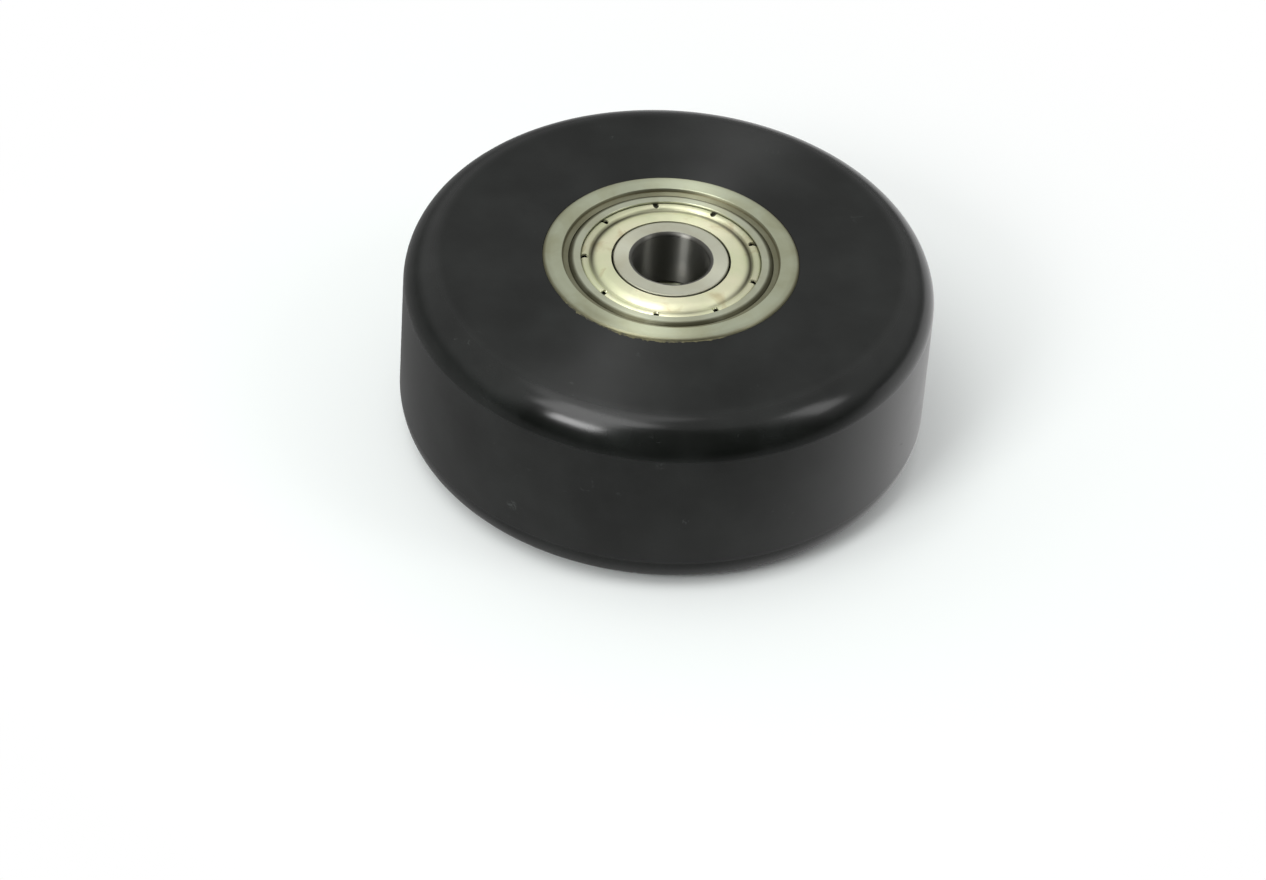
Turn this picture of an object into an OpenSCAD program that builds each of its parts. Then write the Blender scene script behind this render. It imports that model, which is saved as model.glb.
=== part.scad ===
/* [Wheel body] */
// Outer diameter of the wheel
wheel_d = 83; // [76:0.5:110]
// Width of the wheel body between its two flat faces
wheel_w = 32; // [26:0.5:50]
// Radius of the round between the tread and each face
corner_r = 6; // [2:0.25:10]

/* [Hub sleeve] */
// Outer diameter of the steel sleeve that the wheel body is pressed on
sleeve_d = 40; // [37:0.5:50]
// How far each end of the sleeve stands out of the wheel body
sleeve_proud = 0.3; // [0:0.05:0.8]
// Height of the shoulder between the two bearing seats
shoulder_h = 2; // [1:0.1:2.4]
// Width of the chamfer at each mouth of the sleeve
mouth_chamfer = 0.9; // [0.3:0.1:1.2]
// Radius of the round at the bottom of each seat
seat_round = 0.35; // [0.1:0.05:0.45]

/* [Axle spacer] */
// Outer diameter of the tube that holds the two inner rings apart
spacer_d = 17; // [15:0.25:17]
// Play between the axle and the tube, on the radius
spacer_play = 0.25; // [0.1:0.05:0.5]
// Chamfer on the tube's edges
spacer_chamfer = 0.4; // [0.1:0.1:0.6]

/* [Bearing rings] */
// Bore of each bearing, which is the axle's diameter
bearing_bore = 12; // [11:0.25:13]
// Outer diameter of each bearing
bearing_d = 32; // [31:0.25:34]
// Width of each bearing
bearing_w = 10; // [9.5:0.25:12]
// Open height between the shoulder of the inner ring and the land of the outer ring
ring_gap = 3.9; // [3.4:0.1:4.2]
// Radius of the rounds at the bore and on the outside of the rings
ring_round = 0.65; // [0.5:0.05:0.9]
// Radius of the small round on the inner ring's shoulders
shoulder_round = 0.18; // [0.05:0.01:0.3]

/* [Balls and races] */
// Number of balls in each bearing
ball_count = 7; // [5:1:7]
// Diameter of each ball
ball_d = 5.953; // [5:0.001:6.2]
// Play between a ball and the bottom of each race
race_play = 0.04; // [0.03:0.005:0.08]
// Radius of the races as a share of the ball diameter
race_share = 0.52; // [0.51:0.005:0.54]

/* [Shields] */
// Thickness of the pressed sheet
shield_t = 0.3; // [0.2:0.05:0.4]
// Running gap between a shield and the inner ring's shoulder
shield_play = 0.3; // [0.2:0.05:0.5]
// How far the raised middle and the bead lie below the faces of the rings
shield_drop = 0.1; // [0.05:0.05:0.2]
// How far the floor between them lies below the faces of the rings
floor_drop = 0.55; // [0.45:0.05:0.7]
// Radius of the bend at the crest of the raised middle
crest_round = 0.6; // [0.45:0.05:0.8]
// Width of the slope from the crest down to the floor
slope_w = 0.55; // [0.4:0.05:0.8]
// How far the foot of the slope lies inside the outer ring's land
foot_inset = 0.65; // [0.4:0.05:0.9]
// Wall of the outer ring round the lip that holds the shield
lip_wall = 1.9; // [1.75:0.05:2.05]
// How far the crown of the bead lies inside the lip
bead_inset = 0.85; // [0.75:0.05:0.95]
// Radius of the bead
bead_round = 0.7; // [0.6:0.05:0.75]
// How far the shield's edge reaches under the lip
edge_hold = 0.2; // [0.1:0.05:0.3]
// Play round the shield's edge in its groove
edge_play = 0.05; // [0.02:0.01:0.1]
// Number of slits across the bead
slit_count = 9; // [6:1:12]
// Width of each slit
slit_w = 0.6; // [0.3:0.05:0.8]
// Length of each slit, measured in from the shield's edge
slit_l = 1.45; // [1.2:0.05:1.6]
// Angle of the first slit, counted from the X axis
slit_start = 20; // [0:5:40]

/* [Cages] */
// Thickness of the pressed sheet
cage_t = 0.5; // [0.4:0.05:0.6]
// Width of the band between the two rings
cage_band = 2.6; // [2.2:0.1:2.8]
// Play between a ball and its pocket
pocket_play = 0.12; // [0.08:0.01:0.2]
// Diameter of the rivets
rivet_d = 1; // [0.7:0.1:1.2]
// Diameter of the rivet heads
rivet_head_d = 1.7; // [1.5:0.1:2]
// Height of the rivet heads
rivet_head_h = 0.35; // [0.2:0.05:0.5]

/* [Hidden] */
// The two bearings, by name and by the side of the middle plane that they lie on
SIDES = [["upper", 1], ["lower", -1]];
BEARING_PIECES = concat(
    ["outer_ring", "inner_ring", "outside_shield", "inside_shield"],
    ["cage_outside", "cage_inside", "cage_rivets"],
    [for (i = [1:ball_count]) str("ball_", i)]
);
$fn = 96;

body_colour = "#2d2f2e";
steel_colour = "#a6a69f";
shield_colour = "#d3cfa4";
cage_colour = "#8d8b84";
ball_colour = "#c9cbcd";

wheel_r = wheel_d / 2;
body_z = wheel_w / 2;
sleeve_r = sleeve_d / 2;
sleeve_z = body_z + sleeve_proud;
seat_r = bearing_d / 2;
seat_z = body_z - bearing_w;
shoulder_bore_r = seat_r - shoulder_h;

bore_r = bearing_bore / 2;
ring_z = bearing_w / 2;
bearing_z = body_z - ring_z;
pitch_r = (bore_r + seat_r) / 2;
inner_shoulder_r = pitch_r - ring_gap / 2;
land_r = pitch_r + ring_gap / 2;
ball_r = ball_d / 2;
race_r = ball_d * race_share;
inner_race_r = pitch_r - ball_r - race_play;
outer_race_r = pitch_r + ball_r + race_play;

shield_bore_r = inner_shoulder_r + shield_play;
shield_top_z = ring_z - shield_drop;
floor_z = ring_z - floor_drop;
step_z = floor_z - shield_t;
crest_r = land_r - foot_inset - slope_w;
slope = (shield_top_z - floor_z) / slope_w;
lip_r = seat_r - lip_wall;
bead_r = lip_r - bead_inset;
shield_r = lip_r + edge_hold;
groove_r = shield_r + edge_play;
groove_top_z = floor_z + edge_play;

cage_r = pitch_r - cage_band / 2;
pocket_r = ball_r + pocket_play;
rivet_r = rivet_d / 2;
rivet_head_r = rivet_head_d / 2;

// Spare length that a cutting shape stands out of the metal
over = 1;

function unit(v) = v / norm(v);

// The sliver that a round of radius r takes off the corner at p, whose edges run from p towards a and b
module corner_sliver(p, a, b, r) {
    along_a = unit(a - p);
    along_b = unit(b - p);
    half_angle = acos(along_a * along_b) / 2;
    reach = r / tan(half_angle);
    centre = p + unit(along_a + along_b) * r / sin(half_angle);
    difference() {
        polygon([p, p + along_a * reach, p + along_b * reach]);
        translate(centre) circle(r = r);
    }
}

// Solid wheel turned from one piece of polymer, bored for the sleeve
module wheel_body() {
    color(body_colour)
        rotate_extrude()
            difference() {
                translate([sleeve_r, -body_z]) square([wheel_r - sleeve_r, wheel_w]);
                for (end = [-body_z, body_z])
                    corner_sliver([wheel_r, end], [sleeve_r, end], [wheel_r, 0], corner_r);
            }
}

// Section of one bearing seat, from the shoulder out through the chamfered mouth
module seat_section() {
    inside_r = shoulder_bore_r - over;
    bottom = [seat_r, seat_z];
    chamfer_start = [seat_r, sleeve_z - mouth_chamfer];
    difference() {
        polygon([
            [inside_r, seat_z],
            bottom,
            chamfer_start,
            chamfer_start + (mouth_chamfer + over) * [1, 1],
            [inside_r, sleeve_z + over]
        ]);
        corner_sliver(bottom, [inside_r, seat_z], chamfer_start, seat_round);
    }
}

// Steel sleeve with a seat for a bearing at each end and a shoulder between them
module hub_sleeve() {
    color(steel_colour)
        rotate_extrude()
            difference() {
                translate([shoulder_bore_r, -sleeve_z])
                    square([sleeve_r - shoulder_bore_r, 2 * sleeve_z]);
                seat_section();
                mirror([0, 1]) seat_section();
            }
}

// Tube on the axle between the two inner rings
module axle_spacer() {
    inside_r = bore_r + spacer_play;
    outside_r = spacer_d / 2;
    c = spacer_chamfer;
    color(steel_colour)
        rotate_extrude()
            polygon([
                [inside_r, c - seat_z], [inside_r + c, -seat_z],
                [outside_r - c, -seat_z], [outside_r, c - seat_z],
                [outside_r, seat_z - c], [outside_r - c, seat_z],
                [inside_r + c, seat_z], [inside_r, seat_z - c]
            ]);
}

// Inner ring with its race, rounded bore mouths and broken shoulder edges
module inner_ring() {
    color(steel_colour)
        rotate_extrude()
            difference() {
                translate([bore_r, -ring_z]) square([inner_shoulder_r - bore_r, bearing_w]);
                translate([inner_race_r + race_r, 0]) circle(r = race_r);
                for (end = [-ring_z, ring_z]) {
                    corner_sliver([bore_r, end], [seat_r, end], [bore_r, 0], ring_round);
                    corner_sliver([inner_shoulder_r, end], [bore_r, end], [inner_shoulder_r, 0], shoulder_round);
                }
            }
}

// Section of the step, groove and lip that hold one shield's edge
module shield_seat_section() {
    inside_r = land_r - over;
    polygon([
        [inside_r, step_z], [groove_r, step_z],
        [groove_r, groove_top_z], [lip_r, groove_top_z],
        [lip_r, ring_z + over], [inside_r, ring_z + over]
    ]);
}

// Outer ring with its race, its rounded outside and a seat for a shield at each end
module outer_ring() {
    color(steel_colour)
        rotate_extrude()
            difference() {
                translate([land_r, -ring_z]) square([seat_r - land_r, bearing_w]);
                translate([outer_race_r - race_r, 0]) circle(r = race_r);
                shield_seat_section();
                mirror([0, 1]) shield_seat_section();
                for (end = [-ring_z, ring_z])
                    corner_sliver([seat_r, end], [land_r, end], [seat_r, 0], ring_round);
            }
}

// Everything below a shield's top face once that face is moved in by depth: the raised middle, the floor and the bead
module shield_below(depth) {
    inside_r = shield_bore_r - over;
    bottom_z = step_z - over;
    top_z = shield_top_z - depth;
    crest = [crest_r - depth * tan(atan(slope) / 2), top_z];
    slope_end = crest + (top_z - bottom_z) * [1 / slope, -1];
    difference() {
        polygon([[inside_r, bottom_z], slope_end, crest, [inside_r, top_z]]);
        corner_sliver(crest, [inside_r, top_z], slope_end, crest_round - depth);
    }
    translate([inside_r, bottom_z])
        square([shield_r + over - inside_r, floor_z - depth - bottom_z]);
    translate([bead_r, shield_top_z - bead_round]) circle(r = bead_round - depth);
}

// Section of the pressed sheet, of even thickness over its flats, its slope and its bead
module shield_section() {
    intersection() {
        difference() {
            shield_below(0);
            shield_below(shield_t);
        }
        translate([shield_bore_r, 0]) square([shield_r - shield_bore_r, bearing_w]);
    }
}

// Outline of one slit, round at its inner end and open at the shield's edge
module slit_outline() {
    inner_r = shield_r - slit_l + slit_w / 2;
    translate([inner_r, 0]) circle(d = slit_w);
    translate([inner_r, -slit_w / 2]) square([slit_l, slit_w]);
}

// Pressed shield, raised round the inner ring, with a slit bead along its edge
module shield() {
    color(shield_colour)
        difference() {
            rotate_extrude() shield_section();
            for (i = [0:slit_count - 1])
                rotate([0, 0, slit_start + i * 360 / slit_count])
                    linear_extrude(height = bearing_w) slit_outline();
        }
}

// Copies its child to the place of every ball, or of every gap between them when half_step is 0.5
module round_pitch(half_step) {
    for (i = [0:ball_count - 1])
        rotate([0, 0, (i + half_step) * 360 / ball_count]) translate([pitch_r, 0, 0]) children();
}

// One half of the ribbon cage: a flat band pressed into a pocket over every ball
module cage_half() {
    color(cage_colour)
        intersection() {
            rotate_extrude() translate([cage_r, 0]) square([cage_band, ball_d]);
            difference() {
                union() {
                    cylinder(r = cage_r + cage_band + over, h = cage_t);
                    round_pitch(0) sphere(r = pocket_r + cage_t);
                }
                round_pitch(0) sphere(r = pocket_r);
                round_pitch(0.5) cylinder(r = rivet_r, h = 2 * over, center = true);
            }
        }
}

// Section of one domed rivet head on the outside of the cage's band
module rivet_head_section() {
    dome_r = (rivet_head_r * rivet_head_r + rivet_head_h * rivet_head_h) / (2 * rivet_head_h);
    intersection() {
        translate([0, cage_t + rivet_head_h - dome_r]) circle(r = dome_r);
        translate([0, cage_t]) square([rivet_head_d, rivet_head_d]);
    }
}

// The rivets that join the two halves of a cage, one between each two balls
module cage_rivets() {
    color(steel_colour)
        round_pitch(0.5)
            rotate_extrude()
                union() {
                    translate([0, -cage_t]) square([rivet_r, 2 * cage_t]);
                    rivet_head_section();
                    mirror([0, 1]) rivet_head_section();
                }
}

// The ball in place number i of a bearing
module ball(i) {
    color(ball_colour)
        rotate([0, 0, i * 360 / ball_count]) translate([pitch_r, 0, 0]) sphere(r = ball_r);
}

// Puts its child into the bearing on one side of the middle plane, turned over there if flip is true
module in_bearing(side, flip = false) {
    translate([0, 0, side * bearing_z]) mirror([0, 0, flip ? 1 : 0]) children();
}

wheel_body();
hub_sleeve();
axle_spacer();

for (place = SIDES) {
    name = place[0];
    side = place[1];
    below = side < 0;
    in_bearing(side) outer_ring();
    in_bearing(side) inner_ring();
    in_bearing(side, below) shield();
    in_bearing(side, !below) shield();
    in_bearing(side, below) cage_half();
    in_bearing(side, !below) cage_half();
    in_bearing(side) cage_rivets();
    for (i = [1:ball_count])
        in_bearing(side) ball(i - 1);
}
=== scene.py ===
"""Looks of a solid polymer wheel on a steel hub sleeve with two shielded ball bearings.

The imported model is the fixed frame. Each visible turned or pressed piece is worked out again here as a fine
surface on the same axis, and the balls and cages inside keep their CAD shape and get a finish. Sizes are in
millimetres, and they become metres where a mesh is made. The studio's own sizes are in metres.
"""

import logging
import math
from dataclasses import dataclass, field
from enum import Enum

import bpy
import numpy as np
from bpy.types import Material, Node, NodeSocket, NodeTree, Object
from mathutils import Matrix, Vector


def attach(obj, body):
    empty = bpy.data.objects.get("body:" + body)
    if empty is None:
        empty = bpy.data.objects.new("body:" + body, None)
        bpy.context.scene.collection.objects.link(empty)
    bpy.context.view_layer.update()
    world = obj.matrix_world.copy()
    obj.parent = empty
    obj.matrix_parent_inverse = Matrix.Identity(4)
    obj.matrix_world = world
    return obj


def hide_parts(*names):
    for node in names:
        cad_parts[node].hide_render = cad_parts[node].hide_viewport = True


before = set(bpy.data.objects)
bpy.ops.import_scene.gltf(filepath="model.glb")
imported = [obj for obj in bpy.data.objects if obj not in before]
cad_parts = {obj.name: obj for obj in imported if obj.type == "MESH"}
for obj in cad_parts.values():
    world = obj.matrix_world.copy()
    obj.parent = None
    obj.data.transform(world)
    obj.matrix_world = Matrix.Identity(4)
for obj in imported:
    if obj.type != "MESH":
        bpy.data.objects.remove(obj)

LOG = logging.getLogger("wheel")
MM = 0.001
SEED = 7

# Quarter turn of the anisotropy, which draws highlights out across the tool's rings
ACROSS = 0.25
# Sockets of the colour form of the Mix node, which share their names with its other forms
MIX_A, MIX_B, MIX_RESULT = 6, 7, 2
# Two levels of a pattern, and the values that they become where these aren't 0 and 1
Range = tuple[float, ...]
RANGE_SOCKETS = ("From Min", "From Max", "To Min", "To Max")
# Bends sharper than this are shaded as edges, in degrees
SHARP_ANGLE = 38
# Points of a sheet that lie in the same cell of this width become one, in millimetres
MERGE_CELL = 2e-4


class Side(Enum):
    """The side of the middle plane that a bearing lies on."""

    UPPER = 1
    LOWER = -1

    @property
    def prefix(self) -> str:
        """First word of the names of this side's nodes."""
        return self.name.lower()


def linear(colour: str) -> tuple[float, float, float, float]:
    """Turns an sRGB hex colour into the linear values that Blender's sockets take.

    Args:
        colour: Six hex digits after a number sign.

    Returns:
        Linear red, green and blue, and an alpha of 1.
    """
    parts = (int(colour[i : i + 2], 16) / 255 for i in (1, 3, 5))
    return (*(p / 12.92 if p <= 0.04045 else ((p + 0.055) / 1.055) ** 2.4 for p in parts), 1.0)


def add(
    tree: NodeTree, kind: str, inputs: dict[str | int, object] | None = None, bounds: Range = (), **settings: object
) -> Node:
    """Adds a node with its settings, and fills or links its inputs.

    Args:
        tree: The node tree that gets the node.
        kind: The node's type name after "ShaderNode".
        inputs: Socket name or number to a plain value, to a socket, or to a node for its first output.
        bounds: The values of the sockets in RANGE_SOCKETS, for a node that has them.
        settings: The node's own properties.

    Returns:
        The new node.
    """
    node = tree.nodes.new(f"ShaderNode{kind}")
    for name, value in settings.items():
        setattr(node, name, value)
    for name, value in (dict(zip(RANGE_SOCKETS, bounds)) | (inputs or {})).items():
        if isinstance(value, Node):
            value = value.outputs[0]
        if isinstance(value, NodeSocket):
            tree.links.new(value, node.inputs[name])
        else:
            node.inputs[name].default_value = value
    return node


def new_material(name: str) -> tuple[Material, NodeTree, NodeSocket]:
    """Makes a material that holds nothing but its object's coordinates.

    Args:
        name: The real finish, in a maker's words.

    Returns:
        The material, its node tree and the coordinates.
    """
    material = bpy.data.materials.new(name)
    material.use_nodes = True
    tree = material.node_tree
    tree.nodes.clear()
    return material, tree, add(tree, "TexCoord").outputs["Object"]


@dataclass(frozen=True)
class TurnedPolymer:
    """Black cast polyurethane turned on a lathe, with a few small nicks.

    It looks nearly black. Its flat faces only mirror the room, and the fine rings that the tool left spread that
    into a pale streak from the hub to the rim. The smoother a zone is, the smaller and brighter the streak.
    """

    name: str
    anisotropy: float
    ior: float = 1.42
    colour: str = "#101210"
    dust: str = "#474a48"
    ring_spacing: float = 0.9  # coarser than the real 0.15 mm feed, which would not show
    ring_height: float = 0.0030
    mottle_size: float = 9.0
    mottle_dust: Range = (0.35, 0.8, 0.0, 0.16)
    mottle_roughness: Range = (0.0, 1.0, -0.05, 0.05)
    scuff_size: float = 2.2
    scuff_levels: Range = (0.70, 0.78)
    scuff_dust: float = 0.35
    scuff_roughness: float = 0.12
    nick_size: float = 0.45
    nick_levels: Range = (0.52, 0.60)
    nick_core: float = 0.3
    nicks: tuple[tuple[float, float, float, float], ...] = (
        (-23.3, -34.3, -5.9, 1.1),
        (-1.5, -41.5, 9.6, 0.9),
        (3.0, -41.4, -1.5, 0.7),
        (-9.3, 29.7, 16.0, 0.5),
    )

    def material(self) -> Material:
        """Builds the material, with rings that follow the section and dust in the scuffs and the nicks.

        It reads the point attributes "along", the distance along the section in millimetres, and "polish", the
        roughness. Each nick is a place and its reach, full up to the core's share of the reach.

        Returns:
            The material.
        """
        material, tree, place = new_material(self.name)
        along, polish = (add(tree, "Attribute", attribute_name=key).outputs["Fac"] for key in ("along", "polish"))
        ring_inputs = {"W": along, "Scale": 1 / self.ring_spacing, "Detail": 3.0, "Roughness": 0.6}
        rings = add(tree, "TexNoise", ring_inputs, noise_dimensions="1D")
        mottle, scuffs, ragged = (
            add(tree, "TexNoise", {"Vector": place, "Scale": 1 / (size * MM), "Detail": detail, "Distortion": bend})
            for size, detail, bend in (
                (self.mottle_size, 4.0, 0.0), (self.scuff_size, 6.0, 1.4), (self.nick_size, 2.0, 1.0)
            )
        )
        rare = add(tree, "MapRange", {"Value": scuffs}, self.scuff_levels)
        dusty = add(tree, "MapRange", {"Value": mottle}, self.mottle_dust)
        ragged = add(tree, "MapRange", {"Value": ragged}, self.nick_levels)
        share = add(tree, "Math", {0: rare, 1: self.scuff_dust, 2: dusty}, operation="MULTIPLY_ADD")
        for *middle, reach in self.nicks:
            between = {0: place, 1: [part * MM for part in middle]}
            away = add(tree, "VectorMath", between, operation="DISTANCE").outputs["Value"]
            near = add(tree, "MapRange", {"Value": away}, (reach * MM, self.nick_core * reach * MM))
            share = add(tree, "Math", {0: near, 1: ragged, 2: share}, operation="MULTIPLY_ADD")
        uneven = add(tree, "MapRange", {"Value": mottle}, self.mottle_roughness)
        rough = add(tree, "Math", {0: polish, 1: uneven}, operation="ADD")
        rough = add(tree, "Math", {0: rare, 1: self.scuff_roughness, 2: rough}, operation="MULTIPLY_ADD")
        dusted = {0: share, MIX_A: linear(self.colour), MIX_B: linear(self.dust)}
        sockets = {
            "Base Color": add(tree, "Mix", dusted, data_type="RGBA").outputs[MIX_RESULT],
            "Roughness": rough,
            "IOR": self.ior,
            "Anisotropic": self.anisotropy,
            "Anisotropic Rotation": ACROSS,
            "Tangent": add(tree, "Tangent", direction_type="RADIAL", axis="Z"),
            "Normal": add(tree, "Bump", {"Height": rings, "Strength": 1.0, "Distance": self.ring_height * MM}),
        }
        add(tree, "OutputMaterial", {"Surface": add(tree, "BsdfPrincipled", sockets)})
        return material


@dataclass(frozen=True)
class MachinedSteel:
    """Bare steel, turned or ground round the axis, with a thin film of oil and a few tea-coloured stains.

    The rings left by the tool draw the room's lamps out into a streak across them, and the film warms the grey.
    """

    name: str
    colour: str
    stain: str
    roughness: float
    anisotropy: float
    ring_spacing: float
    ring_height: float
    grain: float = ACROSS
    stain_size: float = 5.0
    stain_share: float = 0.35
    stain_levels: Range = (0.42, 0.78)
    # Dark film of dirt and old oil, which also stands for painted shade in grooves and on edges beside other parts
    grime_and_shade: str = "#78745a"
    grime_and_shade_cover: Range = (0.25, 0.5, 0.9)
    grime_and_shade_roughness: float = 0.55
    # Black grease under the shields' edges, which also stands for painted shade in the slits and at the bores'
    # mouths
    grease: str = "#15130e"
    rough_levels: Range = (0.2, 0.8)
    rough_change: Range = (-0.05, 0.08)

    def material(self) -> Material:
        """Builds the material; it reads the point attributes "grime" and "grease", each a share.

        The first is dirt and old oil, together with painted shade in the grooves and on the edges beside other
        parts.
        The second is black grease under the shields' edges, also painted shade in the slits and at the bores'
        mouths.
        The tool's rings follow the distance from the axis and the height together.

        Returns:
            The material.
        """
        material, tree, place = new_material(self.name)
        height = add(tree, "SeparateXYZ", {"Vector": place}).outputs["Z"]
        flat = add(tree, "VectorMath", {0: place, 1: (1.0, 1.0, 0.0)}, operation="MULTIPLY")
        radius = add(tree, "VectorMath", {0: flat}, operation="LENGTH").outputs["Value"]
        along = add(tree, "Math", {0: radius, 1: height}, operation="ADD")
        ring_inputs = {"W": along, "Scale": 1 / (self.ring_spacing * MM), "Detail": 3.0, "Roughness": 0.65}
        rings = add(tree, "TexNoise", ring_inputs, noise_dimensions="1D")
        patch_inputs = {"Vector": place, "Scale": 1 / (self.stain_size * MM), "Detail": 5.0, "Distortion": 0.6}
        patches = add(tree, "TexNoise", patch_inputs)
        stained = add(tree, "MapRange", {"Value": patches}, (*self.stain_levels, 0.0, self.stain_share))
        cover = add(tree, "MapRange", {"Value": patches}, self.grime_and_shade_cover)
        rough_range = (*self.rough_levels, *(self.roughness + change for change in self.rough_change))
        rough = add(tree, "MapRange", {"Value": patches}, rough_range)
        grime_and_shade, grease = (add(tree, "Attribute", attribute_name=key).outputs["Fac"] for key in ("grime_and_shade", "grease"))
        grime_and_shade = add(tree, "Math", {0: grime_and_shade, 1: cover}, operation="MULTIPLY")
        duller = {0: grime_and_shade, 1: self.grime_and_shade_roughness - self.roughness, 2: rough}
        colour = linear(self.colour)
        # The stains are real; the two dark films after them are also painted shade
        for share, tint in ((stained, self.stain), (grime_and_shade, self.grime_and_shade), (grease, self.grease)):
            film = {0: share, MIX_A: colour, MIX_B: linear(tint)}
            colour = add(tree, "Mix", film, data_type="RGBA").outputs[MIX_RESULT]
        sockets = {
            "Base Color": colour,
            "Metallic": 1.0,
            "Roughness": add(tree, "Math", duller, operation="MULTIPLY_ADD"),
            "Anisotropic": self.anisotropy,
            "Anisotropic Rotation": self.grain,
            "Tangent": add(tree, "Tangent", direction_type="RADIAL", axis="Z"),
            "Normal": add(tree, "Bump", {"Height": rings, "Strength": 1.0, "Distance": self.ring_height * MM}),
        }
        add(tree, "OutputMaterial", {"Surface": add(tree, "BsdfPrincipled", sockets)})
        return material


@dataclass(frozen=True)
class PressedZincSteel:
    """Thin steel sheet, pressed round the axis and then plated with yellow-passivated zinc.

    It is the palest metal here, cream with a green tinge, softly shiny, and browner where the film is thick. Its
    highlights run out a little across the ring, as on all that a tool went round.
    """

    colour: str = "#f7f5d5"
    green: str = "#ebefc9"
    brown: str = "#b89d6c"
    # Colour of old oil and painted shade in the crease
    grime_and_shade: str = "#3d3a28"
    roughness: float = 0.49
    rough_levels: Range = (0.3, 0.75)
    rough_change: Range = (-0.04, 0.1)
    anisotropy: float = 0.48
    cloud_size: float = 6.0
    cloud_levels: Range = (0.35, 0.65)
    film_size: float = 3.6
    film_brown: Range = (0.55, 0.80, 0.0, 0.55)
    grain_size: float = 0.35
    grain_height: float = 0.0006

    def material(self) -> Material:
        """Builds the material from two cloud noises for the film and a fine one for the sheet's grain.

        It reads the point attribute "grime", the share of old oil and painted shade in the crease and on the bead.

        Returns:
            The material.
        """
        material, tree, place = new_material("pressed_steel_yellow_zinc")
        clouds, passivation, grain = (
            add(tree, "TexNoise", {"Vector": place, "Scale": 1 / (size * MM), "Detail": detail, "Distortion": bend})
            for size, detail, bend in (
                (self.cloud_size, 3.0, 0.0), (self.film_size, 5.0, 0.8), (self.grain_size, 2.0, 0.0)
            )
        )
        greener = add(tree, "MapRange", {"Value": clouds}, self.cloud_levels)
        thick = add(tree, "MapRange", {"Value": passivation}, self.film_brown)
        grime_and_shade = add(tree, "Attribute", attribute_name="grime_and_shade").outputs["Fac"]
        rough_range = (*self.rough_levels, *(self.roughness + change for change in self.rough_change))
        rough = add(tree, "MapRange", {"Value": passivation}, rough_range)
        colour = linear(self.colour)
        for share, tint in ((greener, self.green), (thick, self.brown), (grime_and_shade, self.grime_and_shade)):
            film = {0: share, MIX_A: colour, MIX_B: linear(tint)}
            colour = add(tree, "Mix", film, data_type="RGBA").outputs[MIX_RESULT]
        sockets = {
            "Base Color": colour,
            "Metallic": 1.0,
            "Roughness": rough,
            "Anisotropic": self.anisotropy,
            "Anisotropic Rotation": ACROSS,
            "Tangent": add(tree, "Tangent", direction_type="RADIAL", axis="Z"),
            "Normal": add(tree, "Bump", {"Height": grain, "Strength": 1.0, "Distance": self.grain_height * MM}),
        }
        add(tree, "OutputMaterial", {"Surface": add(tree, "BsdfPrincipled", sockets)})
        return material


@dataclass(frozen=True)
class LappedChromeSteel:
    """Hardened bearing steel lapped to a mirror, with a trace of grease that dulls it in clouds."""

    colour: str = "#d9dadc"
    greasy: str = "#b9b49c"
    roughness: float = 0.06
    greasy_roughness: float = 0.26
    cloud_size: float = 1.6
    cloud_levels: Range = (0.5, 0.7)

    def material(self) -> Material:
        """Builds the material from one cloud noise for the grease.

        Returns:
            The material.
        """
        material, tree, place = new_material("lapped_chrome_steel")
        clouds = add(tree, "TexNoise", {"Vector": place, "Scale": 1 / (self.cloud_size * MM), "Detail": 3.0})
        grease = add(tree, "MapRange", {"Value": clouds}, self.cloud_levels)
        rough = add(tree, "MapRange", {"Value": clouds}, (*self.cloud_levels, self.roughness, self.greasy_roughness))
        film = {0: grease, MIX_A: linear(self.colour), MIX_B: linear(self.greasy)}
        colour = add(tree, "Mix", film, data_type="RGBA").outputs[MIX_RESULT]
        shader = add(tree, "BsdfPrincipled", {"Base Color": colour, "Metallic": 1.0, "Roughness": rough})
        add(tree, "OutputMaterial", {"Surface": shader})
        return material


@dataclass(frozen=True)
class CuredAdhesive:
    """The yellowish adhesive that was pressed out round the sleeve, dull with dust and uneven."""

    colour: str = "#625f41"
    dark: str = "#363529"
    roughness: float = 0.65
    ior: float = 1.5
    cloud_size: float = 1.2
    cloud_levels: Range = (0.4, 0.65)

    def material(self) -> Material:
        """Builds the material from one cloud noise.

        Returns:
            The material.
        """
        material, tree, place = new_material("cured_adhesive")
        clouds = add(tree, "TexNoise", {"Vector": place, "Scale": 1 / (self.cloud_size * MM), "Detail": 3.0})
        share = add(tree, "MapRange", {"Value": clouds}, self.cloud_levels)
        dirt = {0: share, MIX_A: linear(self.colour), MIX_B: linear(self.dark)}
        colour = add(tree, "Mix", dirt, data_type="RGBA").outputs[MIX_RESULT]
        shader = add(tree, "BsdfPrincipled", {"Base Color": colour, "Roughness": self.roughness, "IOR": self.ior})
        add(tree, "OutputMaterial", {"Surface": shader})
        return material


def arc(centre: float, radius: float, start: float, end: float, steps: int) -> np.ndarray:
    """Points on a circle about a point of the bearing's middle plane, evenly spaced between two angles.

    Args:
        centre: Distance from the axis of the circle's centre.
        radius: Its radius.
        start: First angle in degrees, counted from the outward direction.
        end: Last angle in degrees.
        steps: Number of points.

    Returns:
        Rows of distance from the axis, height and a corner radius of 0.
    """
    turn = np.radians(np.linspace(start, end, steps))
    return np.column_stack([centre + radius * np.cos(turn), radius * np.sin(turn), np.zeros(steps)])


def mirrored(corners: list[list[float]]) -> np.ndarray:
    """The same corners on the other side of the middle plane, in the opposite order."""
    return np.array(corners)[::-1] * [1, -1, 1]


def loop_length(profile: np.ndarray) -> np.ndarray:
    """Distance of each point of an outline from its first point, along the outline, in the profile's units."""
    return np.concatenate([[0.0], np.cumsum(np.linalg.norm(np.diff(profile, axis=0), axis=1))])


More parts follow.
